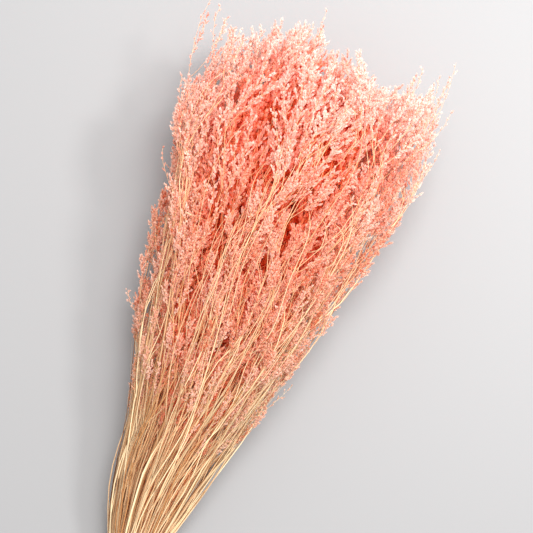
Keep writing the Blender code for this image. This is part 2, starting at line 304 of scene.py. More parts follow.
def makePiece(name, parts, materials):
    points = np.concatenate(parts.points)
    soft = tableContact["softness"]
    points[:, 2] = tableContact["lowest"] + soft * np.logaddexp(0, points[:, 2] / soft)
    corners = np.concatenate([batch[0].reshape(-1) for batch in parts.faces])
    sizes = np.concatenate([np.full(len(batch[0]), batch[0].shape[1]) for batch in parts.faces])
    slots = np.concatenate([np.full(len(batch[0]), batch[1]) for batch in parts.faces])
    mesh = bpy.data.meshes.new(name)
    mesh.vertices.add(len(points))
    mesh.vertices.foreach_set("co", points.astype(np.float32).reshape(-1))
    mesh.loops.add(len(corners))
    mesh.loops.foreach_set("vertex_index", corners.astype(np.int32))
    mesh.polygons.add(len(sizes))
    mesh.polygons.foreach_set("loop_start", (np.cumsum(sizes) - sizes).astype(np.int32))
    mesh.polygons.foreach_set("material_index", slots.astype(np.int32))
    mesh.polygons.foreach_set("use_smooth", np.ones(len(sizes), bool))
    mesh.update(calc_edges=True)
    # Each strip or grain has a square of its own in the OFBake map.
    rows = int(np.ceil(np.sqrt(parts.cellCount)))
    bakeUv = []
    toneUv = []
    for _, _, cells, places, tones in parts.faces:
        corner = np.stack((cells % rows, cells // rows), -1)[:, None] + bakeCell["corner"]
        bakeUv.append(((corner + places) / rows).reshape(-1))
        toneUv.append(tones.reshape(-1))
    for layerName, values in (("OFBake", bakeUv), ("tone", toneUv)):
        layer = mesh.uv_layers.new(name=layerName)
        layer.uv.foreach_set("vector", np.concatenate(values).astype(np.float32))
    for material in materials:
        mesh.materials.append(material)
    piece = bpy.data.objects.new(name, mesh)
    scene.collection.objects.link(piece)
    return piece


def linear(hexColour):  # sRGB hex to linear
    parts = [int(hexColour[i : i + 2], 16) / 255 for i in (1, 3, 5)]
    return tuple(c / 12.92 if c <= 0.04045 else ((c + 0.055) / 1.055) ** 2.4 for c in parts) + (1.0,)


colourMix, mixFirst, mixSecond, mixResult = 0, 6, 7, 2  # the sockets of a Mix node that mixes colours


def addNode(tree, kind, inputs=None, stops=None, **settings):
    node = tree.nodes.new("ShaderNode" + kind)
    for name, value in settings.items():
        setattr(node, name, value)
    for key, value in (inputs or {}).items():
        if isinstance(value, bpy.types.NodeSocket):
            tree.links.new(value, node.inputs[key])
        else:
            node.inputs[key].default_value = value
    if stops:
        elements = node.color_ramp.elements
        while len(elements) < len(stops):
            elements.new(0.5)
        for element, (position, colour) in zip(elements, stops):
            element.position = position
            element.color = linear(colour)
    return node


def newMaterial(name):
    material = bpy.data.materials.new(name)
    material.use_nodes = True
    material.node_tree.nodes.clear()
    return material, material.node_tree


def addSurface(tree, skin, glow=0.0, colour=None):  # a glow is light that comes through from behind
    if glow:
        through = addNode(tree, "BsdfTranslucent", {"Color": colour})
        skin = addNode(tree, "MixShader", {0: glow, 1: skin.outputs[0], 2: through.outputs[0]})
    addNode(tree, "OutputMaterial", {"Surface": skin.outputs[0]})


def toneOf(tree):  # X is a random tone, and Y the depth in the bundle, 0 outside to 1 in the core, from which the materials paint shade
    stored = addNode(tree, "UVMap", uv_map="tone")
    return addNode(tree, "SeparateXYZ", {"Vector": stored.outputs["UV"]})


# The dye: a coral bath that took the sprays and faded out down the stems.
dye = {
    "fadeFrom": 0.235,  # station
    "fadeTo": 0.43,
    "spikeletsLower": 0.04,  # the spikelets take the dye this much nearer the cut ends than the stems do
    "paleFrom": 0.43,  # the tips are paler again
    "paleTo": 0.575,
    "patchSize": 0.045,  # how far apart its lighter and darker patches are, in metres
    "patchDepth": 0.07,  # how far a patch shifts the edge of the dye, in metres
    "patchNoise": (0.3, 0.7),  # the noise lies mostly between these
}


def dyeShare(tree, lower=0.0):  # 0 on plain straw, 1 where the dye is full
    place = addNode(tree, "TexCoord").outputs["Object"]
    patches = addNode(tree, "TexNoise", {
        "Vector": place, "Scale": 1 / dye["patchSize"], "Detail": 2.0})
    shift = addNode(tree, "MapRange", {
        "Value": patches.outputs["Fac"],
        "From Min": dye["patchNoise"][0], "From Max": dye["patchNoise"][1],
        "To Min": -dye["patchDepth"], "To Max": dye["patchDepth"]})
    axis = addNode(tree, "SeparateXYZ", {"Vector": place})
    moved = addNode(tree, "Math", {
        0: axis.outputs["Y"], 1: shift.outputs["Result"]}, operation="ADD")
    fade = addNode(tree, "MapRange", {
        "Value": moved.outputs[0], "From Min": dye["fadeFrom"] - lower - bundle["boxMiddleStation"],
        "From Max": dye["fadeTo"] - lower - bundle["boxMiddleStation"]}, interpolation_type="SMOOTHSTEP")
    return fade.outputs["Result"]


# Spikelets: papery dyed bracts, matt and thin enough for light to glow through. The ones in the shaded
# core are painted a purer orange, as painted shade for light that has passed through many of them and
# taken on their dye.
spikeletLook = {
    "pinks": ("#EC936E", "#F8C6AC", "#FFE2D2"),
    "straws": ("#E4B088", "#F9D6C0", "#FFE8DA"),
    "tipPinks": ("#FFC2AC", "#FFE3DA", "#FFEEE4"),
    "toneStops": (0.0, 0.4, 1.0),
    "paintedCoreOrange": "#FF8442",
    "paintedCoreFrom": 0.18,  # depth from which the spikelets are painted orange, as painted shade in the core
    "paintedCoreTo": 0.55,
    "paintedCoreMost": 0.9,
    "ior": 1.3,  # full of air, so less shiny than solid plant matter
    "roughness": 0.62,
    "glow": 0.5,
}


def dyedSpikelet():
    material, tree = newMaterial("dyedSpikelet")
    tone = toneOf(tree)
    pinks, straws, tipPinks = (
        addNode(tree, "ValToRGB", {"Fac": tone.outputs["X"]},
                stops=tuple(zip(spikeletLook["toneStops"], spikeletLook[colours]))).outputs["Color"]
        for colours in ("pinks", "straws", "tipPinks"))
    place = addNode(tree, "TexCoord").outputs["Object"]
    axis = addNode(tree, "SeparateXYZ", {"Vector": place})
    nearTip = addNode(tree, "MapRange", {
        "Value": axis.outputs["Y"], "From Min": dye["paleFrom"] - bundle["boxMiddleStation"],
        "From Max": dye["paleTo"] - bundle["boxMiddleStation"]})
    dyed = addNode(tree, "Mix", {
        colourMix: nearTip.outputs["Result"], mixFirst: pinks, mixSecond: tipPinks}, data_type="RGBA")
    byStation = addNode(tree, "Mix", {
        colourMix: dyeShare(tree, dye["spikeletsLower"]),
        mixFirst: straws, mixSecond: dyed.outputs[mixResult]}, data_type="RGBA")
    paintedCoreShade = addNode(tree, "MapRange", {
        "Value": tone.outputs["Y"], "From Min": spikeletLook["paintedCoreFrom"],
        "From Max": spikeletLook["paintedCoreTo"], "To Min": 0.0, "To Max": spikeletLook["paintedCoreMost"]})
    # Painted shade: the deeper a spikelet lies in the bundle, the more it is painted the core orange.
    paintedCoreMix = addNode(tree, "Mix", {
        colourMix: paintedCoreShade.outputs["Result"], mixFirst: byStation.outputs[mixResult],
        mixSecond: linear(spikeletLook["paintedCoreOrange"])}, data_type="RGBA")
    colour = paintedCoreMix.outputs[mixResult]
    skin = addNode(tree, "BsdfPrincipled", {
        "Base Color": colour, "Roughness": spikeletLook["roughness"], "IOR": spikeletLook["ior"]})
    addSurface(tree, skin, spikeletLook["glow"], colour)
    return material


# Stems: hollow grass culms, dried to straw, with fine lengthwise fibres and a slight waxy shine.
stemLook = {
    "cream": "#F3DDB2",
    "straw": "#DFBA90",
    "golden": "#C08C56",
    "brown": "#A6693A",
    # Painted shade: undyed stems deep in the bundle are painted this warm pale orange, over the depths
    # below.
    "dyed": "#F8C090",
    "paintedCoreShade": "#FFD09C",
    "stemPaintedDyeFrom": 0.05,  # depth from which a stem is painted with more of the dye, as painted shade in the core
    "stemPaintedDyeTo": 0.3,
    "stemPaintedCoreFrom": 0.16,
    "stemPaintedCoreTo": 0.5,
    "fibreSpacing": 0.0004,  # metres between fibres, coarser than real ones so that they show
    "fibreLength": 0.03,
    "fibreShare": 0.7,  # how much the fibres shift the tone
    "middleTone": 0.35,
    "roughness": 0.45,
    "fibreHeight": 0.0001,
    "fibreBump": 0.3,
}


def strawStem(name, dyedShare, glow=0.0):
    material, tree = newMaterial(name)
    place = addNode(tree, "TexCoord").outputs["Object"]
    finest = 1 / stemLook["fibreSpacing"]
    fibres = addNode(tree, "Mapping", {
        "Vector": place, "Scale": (finest, 1 / stemLook["fibreLength"], finest)})
    grain = addNode(tree, "TexNoise", {"Vector": fibres.outputs[0], "Scale": 1.0, "Detail": 3.0})
    tone = toneOf(tree)
    fibre = addNode(tree, "Math", {
        0: grain.outputs["Fac"], 1: stemLook["fibreShare"]}, operation="MULTIPLY")
    shade = addNode(tree, "Math", {0: tone.outputs["X"], 1: fibre.outputs[0]}, operation="ADD")
    centred = addNode(tree, "Math", {
        0: shade.outputs[0], 1: stemLook["middleTone"]}, operation="SUBTRACT")
    plain = addNode(tree, "ValToRGB", {"Fac": centred.outputs[0]}, stops=(
        (0.0, stemLook["brown"]), (0.25, stemLook["golden"]),
        (0.6, stemLook["straw"]), (1.0, stemLook["cream"])))
    # Painted shade: the deeper a stem lies in the bundle, the more dye and the warmer orange it is
    # painted.
    paintedCoreDye = addNode(tree, "MapRange", {
        "Value": tone.outputs["Y"], "From Min": stemLook["stemPaintedDyeFrom"], "From Max": stemLook["stemPaintedDyeTo"],
        "To Min": dyedShare, "To Max": 1.0})
    dyeWithPaintedCore = addNode(tree, "Math", {
        0: dyeShare(tree), 1: paintedCoreDye.outputs["Result"]}, operation="MULTIPLY")
    paintedCoreShade = addNode(tree, "MapRange", {
        "Value": tone.outputs["Y"], "From Min": stemLook["stemPaintedCoreFrom"], "From Max": stemLook["stemPaintedCoreTo"],
        "To Min": 0.0, "To Max": 1.0})
    dyed = addNode(tree, "Mix", {
        colourMix: paintedCoreShade.outputs["Result"], mixFirst: linear(stemLook["dyed"]),
        mixSecond: linear(spikeletLook["paintedCoreOrange"])}, data_type="RGBA")
    undyed = addNode(tree, "Mix", {
        colourMix: paintedCoreShade.outputs["Result"], mixFirst: plain.outputs["Color"],
        mixSecond: linear(stemLook["paintedCoreShade"])}, data_type="RGBA")
    mixed = addNode(tree, "Mix", {
        colourMix: dyeWithPaintedCore.outputs[0], mixFirst: undyed.outputs[mixResult],
        mixSecond: dyed.outputs[mixResult]}, data_type="RGBA")
    colour = mixed.outputs[mixResult]
    bump = addNode(tree, "Bump", {
        "Height": grain.outputs["Fac"], "Strength": stemLook["fibreBump"],
        "Distance": stemLook["fibreHeight"]})
    skin = addNode(tree, "BsdfPrincipled", {
        "Base Color": colour, "Roughness": stemLook["roughness"], "Normal": bump.outputs[0]})
    addSurface(tree, skin, glow, colour)
    return material


# Twine: raw jute, two plies of coarse hairy fibres, matt.
juteLook = {
    "light": "#D8B98C",
    "mid": "#B98F5E",
    "dark": "#7C5734",
    "fibreSize": 0.001,  # metres, a tuft of fibres
    "fibreHeight": 0.0002,
    "fibreBump": 0.6,
    "roughness": 0.9,
}


def juteTwine():
    material, tree = newMaterial("juteTwine")
    place = addNode(tree, "TexCoord").outputs["Object"]
    grain = addNode(tree, "TexNoise", {
        "Vector": place, "Scale": 1 / juteLook["fibreSize"], "Detail": 4.0})
    tone = toneOf(tree)
    both = addNode(tree, "Math", {0: tone.outputs["X"], 1: grain.outputs["Fac"]}, operation="ADD")
    half = addNode(tree, "Math", {0: both.outputs[0], 1: 0.5}, operation="MULTIPLY")
    colour = addNode(tree, "ValToRGB", {"Fac": half.outputs[0]}, stops=(
        (0.25, juteLook["dark"]), (0.5, juteLook["mid"]), (0.8, juteLook["light"])))
    bump = addNode(tree, "Bump", {
        "Height": grain.outputs["Fac"], "Strength": juteLook["fibreBump"],
        "Distance": juteLook["fibreHeight"]})
    skin = addNode(tree, "BsdfPrincipled", {
        "Base Color": colour.outputs["Color"], "Roughness": juteLook["roughness"],
        "Normal": bump.outputs[0]})
    addSurface(tree, skin)
    return material


# How much of the dye each takes, and how much light thin dry leaf lets through.
dyeTaken = {"stem": 0.15, "branch": 0.9, "blade": 0.3}
bladeGlow = 0.4
stemSlot, branchSlot, spikeletSlot, bladeSlot = 0, 1, 2, 3
grassMaterials = [
    strawStem("driedStrawStem", dyeTaken["stem"]),
    strawStem("dyedBranch", dyeTaken["branch"]),
    dyedSpikelet(),
    strawStem("dryLeafBlade", dyeTaken["blade"], glow=bladeGlow),
]
print("materials made")


# Each piece is one solid's stem with the finer stems that grow beside it, and all their sprays.
# Tones are random, and go from the brownest straw or the strongest pink at 0 to the palest at 1.
stems = {
    "perPiece": 5,
    "besideRadius": 0.6,  # how far the finer stems stand from the solid's own, in cells
    "besideTurn": 1.5,  # radians that they may be turned about it
    "besideTip": (-0.045, 0.02),  # above the solid's own, in metres
    "tallTip": (0.54, 0.63),  # station that the first of them reaches at least
    "besideSpray": (0.8, 1.05),  # of the solid's own spray
    "thickness": (0.8, 1.2),
    "radiusAt": (0.0, 0.2, 0.5, 0.9, 1.0),  # shares of a stem's length
    "radii": (0.00064, 0.00064, 0.00046, 0.00018, 0.00009),
    "rings": 27,
    "sides": 5,
    "restless": 0.09,  # how far a stem strays sideways, in the unit disc
    "restlessUp": 0.6,  # and up, as a share of that
    "restlessLength": 0.21,
    "quickSway": 0.03,
    "quickLength": 0.10,
    "swayLengths": (0.7, 1.4),
    "quickSways": (0.3, 1.2),
    "ragged": 0.013,  # how far tips end below the crown, in metres
    "sheathShare": 0.16,  # of the stems still wear a dry flattened leaf sheath
    "sheathRadius": 0.0015,
    "sheathEnd": 0.27,  # station
    "sheathTaper": 0.08,
    "sheathFlatness": 0.45,
    "ownTones": (0.3, 0.9),
    "besideTones": (0.1, 1.0),
}

blades = {
    "perPiece": 5,
    "foot": (0.03, 0.22),  # stations
    "end": (0.20, 0.44),
    "shortest": 0.1,
    "clearOfTie": 0.01,
    "width": (0.0012, 0.0042),
    "thickness": 0.08,  # in widths
    "rings": 20,
    "offStem": 0.3,  # in cells
    "stray": 0.24,  # how far a blade strays from its stem, in the unit disc
    "strays": (0.4, 1.0),
    "strayUp": 0.8,
    "bend": 2.0,
    "tones": (0.15, 1.0),
}

plumes = {
    "nodeSpacing": 0.030,
    "nodeStray": 0.007,
    "crowdUp": 2.0,  # how much the nodes crowd towards the tip
    "length": (0.044, 0.078),
    "firstLength": 0.55,  # the lowest plumes are this much of the full length
    "lengthGain": 0.25,  # and each node adds this much
    "belowTip": 0.008,
    "points": 7,
    "bare": 0.34,  # share of a side branch that carries no spikelets
    "lastNode": 0.045,  # how far below its tip a stem carries its last side plume
    "spike": (0.062, 0.003),  # the plume at a stem's own tip, from and to this far below it
    "reach": 1.05,  # how far a plume swings from its stem, in cells
    "reaches": (0.5, 1.1),
    "swingPower": 1.7,  # it swings out early and then runs along the stem
    "sizes": (0.85, 1.1),
    "branchRadius": 0.00030,
    "taper": 0.6,  # share of its radius that a branch loses towards its tip
    "branchTones": (0.3, 0.9),
    "startSpread": (-0.035, 0.055),
    "frontStart": 0.14,  # how much later the stems on top of the bundle begin their spray
    "frontFrom": (-0.6, 0.4),  # but none left of this spot across, and fully this much further right
    "crownRoom": 0.008,  # how far a plume may pass the crown, in metres
    "crownFrom": 0.50,  # above this station each stem carries one more plume
    "crownSpread": 0.07,
    "lateShare": 0.35,  # of the stems stay bare for longer
    "lateBy": 0.10,
}

twigs = {
    "perPlume": 11,
    "stray": 0.02,  # along the plume, as a share of it
    "turnStray": 0.5,
    "lean": radians(23),
    "leanStray": 0.16,
    "length": (0.0040, 0.0085),
    "lengths": (0.8, 1.15),
    "radius": 0.00016,
    "tipRadius": 0.6,  # as a share of that
}

grains = {  # a grain is one spikelet
    "perTwig": 8,
    "stray": 0.08,  # along the twig, as a share of it
    "lowest": 0.1,
    "turn": 0.9 * pi,  # so they stand nearly in two ranks
    "lean": radians(22),
    "leans": (0.3, 1.5),
    "lastLean": 0.3,  # the one at the twig's tip points along it
    "fill": 0.82,
    "smallFill": 0.25,  # the smallest plumes are emptier
    "coreFill": 0.42,  # share of the spikelets that grow in the shaded core
    "coreFillOver": (0.3, 0.25),  # from this depth, and over how much more of it
    "length": (0.0026, 0.0042),
    "width": (0.0013, 0.0019),
    "smallSize": 0.5,
    "coreGrowth": 0.4,  # how much larger the few spikelets in the core are
    "coreGrowthOver": (0.15, 0.3),
    "finerAbove": 0.19,  # depth down to which a spikelet has three bracts, and two below
    "tone": (0.55, 0.22),  # mean and spread from plume to plume
    "toneSpread": 0.18,  # within a plume
    "tipLayer": 0.10,  # how deep the outer layer is below the tips, in metres; it gets no painted core shade, so it is paler
}

# Thin wisps below the full spray: short plumes that get rarer towards the cut ends.
wisps = {
    "from": 0.205,  # station
    "fromSpread": 0.02,
    "spacing": 0.018,
    "size": 0.35,  # of a full plume
    "fullAfter": 0.15,  # metres above the first wisp
    "laterRight": 0.6,  # and this share of a stem's x more on the right
    "share": (0.2, 0.9),  # of the nodes carry one, at the start and where the spray is full
    "shareOver": 0.14,
}

threads = {
    "perStem": 4,
    "foot": (0.15, 0.40),  # station
    "length": (0.035, 0.085),
    "belowTip": 0.02,
    "points": 7,
    "turn": 1.2,  # radians that it may wind, either way
    "reach": 1.5,  # in cells
    "reaches": (0.4, 1.0),
    "swingPower": 1.5,
    "radius": 0.00020,
    "tones": (0.5, 1.0),
}

# Long bare stalks that lie over the sprays, on the outside of the bundle.
stalks = {
    "perPiece": 5,
    "outerSpots": 0.5,  # only pieces this far out in the unit disc carry them
    "foot": (0.20, 0.44),  # station
    "length": (0.09, 0.20),
    "belowTip": 0.03,
    "rings": 14,
    "spread": 0.35,  # radians round the bundle, to either side of the piece's stem
    "drift": 0.16,
    "sway": 0.025,
    "swayLength": 0.12,
    "outermost": 1.0,  # in the unit disc
    "sunk": 0.75,  # both ends dip into the sprays
    "sideDip": 0.20,  # and the stalks at the bundle's sides lie deeper
    "radius": 0.00033,
    "radii": (0.7, 1.2),
    "taper": 0.5,
    "tones": (0.35, 0.95),
}


def scatter(rng, most, shape):  # up to this much either way
    return rng.uniform(-most, most, shape)


def alongLines(lines, shares):  # points and directions on each line at these shares of its length
    last = lines.shape[1] - 1
    place = np.clip(shares, 0, 1) * last
    before = np.minimum(place.astype(int), last - 1)
    part = (place - before)[..., None]
    row = np.arange(len(lines))[:, None]
    start, end = lines[row, before], lines[row, before + 1]
    return start * (1 - part) + end * part, unit(end - start)


def around(ahead, turns, lean):  # ahead, leant over by lean towards a turn about it
    side = unit(np.cross(ahead, (0.15, 0.0, 1.0)))
    other = np.cross(ahead, side)
    out = np.cos(turns)[..., None] * side + np.sin(turns)[..., None] * other
    return unit(np.cos(lean)[..., None] * ahead + np.sin(lean)[..., None] * out)


def depthIn(points):  # 0 on the bundle's outside, 1 in its middle
    station = points[..., 1] + bundle["boxMiddleStation"]
    middle, _ = middleHeight(station)
    across = (points[..., 0] + bundle["boxMiddleX"]) / halfWidth(station)
    up = (points[..., 2] - middle) / halfHeight(station)
    belowTips = np.clip((bundle["length"] - station) / grains["tipLayer"], 0, 1)
    return belowTips * (1 - np.clip(np.sqrt(across**2 + up**2), 0, 1))


def toned(tones, depths):
    return np.stack(np.broadcast_arrays(tones, depths), -1)


def onStem(spotAt, station):
    return pointAt(*insideDisc(*spotAt(station)), station)


def swungOut(form, spotAt, station, turn, step, rng):  # paths that swing out from a stem as they rise
    across, up = spotAt(station)
    reach = form["reach"] * cell * rng.uniform(*form["reaches"], (len(station), 1))
    reach = reach * (1 - (1 - step) ** form["swingPower"])
    return pointAt(*insideDisc(across + reach * np.cos(turn), up + reach * np.sin(turn)), station)


def addBranches(parts, lines, radius, tones, rng):
    radii = radius * (1 - plumes["taper"] * np.linspace(0, 1, lines.shape[1]))
    tones = toned(rng.uniform(*tones, len(lines)), depthIn(lines[:, -1]))
    tubes(parts, lines, np.broadcast_to(radii, lines.shape[:2]), 3, branchSlot, tones)


def addPlumes(parts, lines, bare, sizes, rng):
    perPlume = (len(lines), twigs["perPlume"])
    perTwig = (*perPlume, grains["perTwig"])
    sizes = sizes[:, None]
    number = np.arange(twigs["perPlume"])
    share = (number + 0.5) / len(number) + scatter(rng, twigs["stray"], perPlume)
    starts, ahead = alongLines(lines, bare[:, None] + (1 - bare[:, None]) * share)
    turns = rng.uniform(0, tau, (len(lines), 1)) + goldenAngle * number
    turns = turns + scatter(rng, twigs["turnStray"], perPlume)
    lean = twigs["lean"] + scatter(rng, twigs["leanStray"], perPlume)
    twigAhead = around(ahead, turns, lean)
    swell = np.sin(pi * np.clip(0.16 + 0.76 * share, 0, 1)) ** 0.8  # a spindle, widest below its middle
    low, high = twigs["length"]
    lengths = (low + (high - low) * swell) * rng.uniform(*twigs["lengths"], perPlume) * sizes
    ends = starts + lengths[..., None] * twigAhead
    paths = np.stack((starts, ends), 2).reshape(-1, 2, 3)
    radii = np.broadcast_to(twigs["radius"] * np.array((1.0, twigs["tipRadius"])), (len(paths), 2))
    twigTones = toned(rng.uniform(*plumes["branchTones"], len(paths)), depthIn(ends).reshape(-1))
    tubes(parts, paths, radii, 3, branchSlot, twigTones)

    number = np.arange(grains["perTwig"])
    place = (number + 0.6) / (len(number) - 0.4)  # the last one is at the twig's tip
    place = np.clip(place + scatter(rng, grains["stray"], perTwig), grains["lowest"], 1.0)
    bases = starts[:, :, None] + (lengths[..., None] * place)[..., None] * twigAhead[:, :, None]
    grainTurns = rng.uniform(0, tau, (*perPlume, 1)) + grains["turn"] * number
    grainLean = grains["lean"] * rng.uniform(*grains["leans"], perTwig)
    grainLean[..., -1] *= grains["lastLean"]
    grainAhead = around(np.broadcast_to(twigAhead[:, :, None], bases.shape), grainTurns, grainLean)
    depth = depthIn(bases)
    sizes = sizes[..., None]
    chance = grains["fill"] * (1 - (1 - grains["coreFill"]) * ramp(depth, *grains["coreFillOver"]))
    chance = chance * (grains["smallFill"] + (1 - grains["smallFill"]) * sizes)
    kept = rng.random(perTwig) < chance
    tone = np.broadcast_to(rng.normal(*grains["tone"], (len(lines), 1, 1)), perTwig)[kept]
    size = np.broadcast_to(grains["smallSize"] + (1 - grains["smallSize"]) * sizes, perTwig)[kept]
    bases, grainAhead, depth = bases[kept], grainAhead[kept], depth[kept]
    count = len(bases)
    tone = np.clip(tone + rng.normal(0, grains["toneSpread"], count), 0, 1)
    lengths = rng.uniform(*grains["length"], count) * size
    widths = rng.uniform(*grains["width"], count) * size
    grown = 1 + grains["coreGrowth"] * ramp(depth, *grains["coreGrowthOver"])
    lengths, widths = lengths * grown, widths * grown
    rolls = rng.uniform(0, tau, count)
    outside = depth < grains["finerAbove"]
    for layer, bracts in ((outside, 3), (~outside, 2)):
        if layer.any():
            spikelets(parts, bases[layer], grainAhead[layer], lengths[layer], widths[layer],
                      rolls[layer], spikeletSlot, toned(tone, depth)[layer], bracts)
    return count


def addThreads(parts, spotAt, tip, rng):  # bare hair-thin branches that cross the stems
    each = (threads["perStem"], 1)
    foot = rng.uniform(*threads["foot"], each)
    length = np.minimum(rng.uniform(*threads["length"], each), tip - foot - threads["belowTip"])
    step = np.linspace(0, 1, threads["points"])
    station = foot + length * step
    turn = rng.uniform(0, tau, each) + scatter(rng, threads["turn"], each) * step
    path = swungOut(threads, spotAt, station, turn, step, rng)
    addBranches(parts, path, threads["radius"], threads["tones"], rng)


def addStalks(parts, spot, tip, rng):  # long pale bare stalks that lie over the outer sprays
    if np.hypot(*spot) < stalks["outerSpots"]:
        return
    each = (stalks["perPiece"], 1)
    foot = rng.uniform(*stalks["foot"], each)
    step = np.linspace(0, 1, stalks["rings"])
    length = np.minimum(rng.uniform(*stalks["length"], each), tip - foot - stalks["belowTip"])
    station = foot + length * step
    turn = np.arctan2(spot[1], spot[0]) + scatter(rng, 1, each) * stalks["spread"]
    turn = turn + scatter(rng, 1, each) * stalks["drift"] * (step - 0.5)
    beat = tau * station / stalks["swayLength"] + rng.uniform(0, tau, each)
    turn = turn + stalks["sway"] * np.sin(beat)
    far = stalks["outermost"] - (1 - stalks["sunk"]) * (2 * step - 1) ** 4
    far = far - stalks["sideDip"] * np.cos(turn) ** 6
    path = pointAt(far * np.cos(turn), far * np.sin(turn), station)
    radius = stalks["radius"] * rng.uniform(*stalks["radii"], each) * (1 - stalks["taper"] * step)
    tubes(parts, path, radius, 4, stemSlot, toned(rng.uniform(*stalks["tones"], len(path)), 0.0))


def growStem(parts, spotAt, tip, sprayStart, tone, rng):  # returns the lines and sizes of its plumes
    tipX = onStem(spotAt, tip)[0]
    tip = min(tip, float(crown(tipX)) - abs(rng.normal(0, stems["ragged"])))
    stations = tip * np.linspace(0, 1, stems["rings"])
    path = onStem(spotAt, stations)
    thick = rng.uniform(*stems["thickness"])
    radius = thick * np.interp(stations / tip, stems["radiusAt"], stems["radii"])
    flatness = 1.0
    if rng.random() < stems["sheathShare"]:
        flatness = stems["sheathFlatness"]
        sheathed = np.clip((stems["sheathEnd"] - stations) / stems["sheathTaper"], 0, 1)
        radius += (stems["sheathRadius"] - stems["radii"][0]) * sheathed
    tubes(parts, path[None], radius[None], stems["sides"], stemSlot, toned(tone, depthIn(path))[None],
          roll=rng.uniform(0, pi), flatness=flatness, capped=True)

    lower = np.arange(wisps["from"] + rng.uniform(0, wisps["fromSpread"]), sprayStart, wisps["spacing"])
    low, high = wisps["share"]
    share = low + (high - low) * ramp(lower, wisps["from"], wisps["shareOver"])
    lower = lower[rng.random(len(lower)) < share]
    last = tip - plumes["lastNode"]
    full = np.arange(sprayStart, last, plumes["nodeSpacing"])
    full = full + plumes["crowdUp"] * (full - sprayStart) * (last - full)
    extra = rng.uniform(plumes["crownFrom"], plumes["crownFrom"] + plumes["crownSpread"])
    nodes = np.concatenate((lower, full, [extra] if extra < last else []))
    nodes = nodes + scatter(rng, plumes["nodeStray"], len(nodes))
    azimuths = rng.uniform(0, tau) + goldenAngle * np.arange(len(nodes))[:, None]
    grown = plumes["firstLength"] + plumes["lengthGain"] * (np.arange(len(nodes)) - len(lower))
    grown = np.clip(grown, plumes["firstLength"], 1.0)
    longest = tip - plumes["belowTip"] - nodes
    lengths = np.minimum(grown * rng.uniform(*plumes["length"], len(nodes)), longest)
    step = np.linspace(0, 1, plumes["points"])
    station = nodes[:, None] + lengths[:, None] * step
    lines = swungOut(plumes, spotAt, station, azimuths, step, rng)
    underCrown = station[:, -1] < crown(lines[:, -1, 0]) + plumes["crownRoom"]
    nodes, lines = nodes[underCrown], lines[underCrown]
    addBranches(parts, lines, plumes["branchRadius"], plumes["branchTones"], rng)
    foot, end = plumes["spike"]
    spikeStations = np.linspace(tip - foot, tip - end, plumes["points"])
    spike = onStem(spotAt, spikeStations)
    addThreads(parts, spotAt, tip, rng)
    fullAfter = wisps["fullAfter"] + wisps["laterRight"] * max(tipX, 0.0)
    sizes = wisps["size"] + (1 - wisps["size"]) * ramp(nodes, wisps["from"], fullAfter)
    sizes = np.append(sizes * rng.uniform(*plumes["sizes"], len(nodes)), 1.0)
    return np.concatenate((lines, spike[None])), sizes


# Strays: slim sprays that stand out of the bundle, where the real one has them. Each is the tip's x,
# its station, how high it stands (up in the unit disc), and its length. It grows out of the nearest stem.
strays = (
    (-0.1240, 0.6160, 0.1, 0.120),
    (-0.1120, 0.6080, 0.4, 0.080),
    (-0.0225, 0.6420, 0.2, 0.110),
    (-0.0300, 0.6330, -0.3, 0.070),
    (0.0780, 0.6280, 0.1, 0.080),
    (0.1032, 0.6410, 0.3, 0.130),
    (0.0950, 0.6280, 0.0, 0.090),
    (0.1150, 0.5960, 0.4, 0.095),
    (0.1200, 0.5640, 0.1, 0.085),
    (-0.1215, 0.5386, 0.2, 0.080),
    (-0.1130, 0.4700, 0.3, 0.070),
    (-0.0965, 0.3380, 0.1, 0.030),
    (0.0760, 0.3136, 0.2, 0.070),
)
strayForm = {
    "footShare": 0.85,  # its foot is this much nearer the axis than its tip
    "forks": (0.35, 0.55),  # shares of its length where it forks
    "forkLean": (0.2, 0.35),
    "forkEnd": 0.95,
    "forkLengths": (0.7, 0.95),
    "forkBend": 0.8,
    "sizes": (0.4, 0.65),
    "shortSize": 0.5,  # a short stray has smaller plumes
    "sizeGain": 5,  # for each metre
    "tones": (0.5, 1.0),
}


def nearestSpot(stray):
    x, station, up, _ = stray
    inner = strayForm["footShare"]
    across = (x + bundle["boxMiddleX"]) / halfWidth(station)
    far = [(spot[0] - inner * across) ** 2 + (spot[1] - inner * up) ** 2 for spot in spots]
    return far.index(min(far))


def growStray(parts, stray, spotAt, rng):
    x, tip, up, length = stray
    across = (x + bundle["boxMiddleX"]) / halfWidth(tip)
    step = np.linspace(0, 1, plumes["points"])
    station = tip - length * (1 - step)
    fromAcross, fromUp = spotAt(station)
    ease = eased(step)
    path = pointAt(fromAcross + (across - fromAcross) * ease, fromUp + (up - fromUp) * ease, station)
    lines = [path]
    step = step[:, None]
    for fork in strayForm["forks"]:
        start, ahead = alongLines(path[None], np.array([[fork]]))
        turn, lean = rng.uniform(0, tau), rng.uniform(*strayForm["forkLean"])
        away = around(ahead, np.array([[turn]]), np.array([[lean]]))[0, 0]
        reach = length * (strayForm["forkEnd"] - fork) * rng.uniform(*strayForm["forkLengths"])
        away[0] = -abs(away[0]) * np.sign(x)  # forks lean in over the bundle
        bend = unit(away + strayForm["forkBend"] * ahead[0, 0])
        lines.append(start[0, 0] + reach * step * (away * (1 - step) + bend * step))
    lines = np.stack(lines)
    addBranches(parts, lines, plumes["branchRadius"], strayForm["tones"], rng)
    size = min(1.0, strayForm["shortSize"] + strayForm["sizeGain"] * length)
    return lines, rng.uniform(*strayForm["sizes"], len(lines)) * size


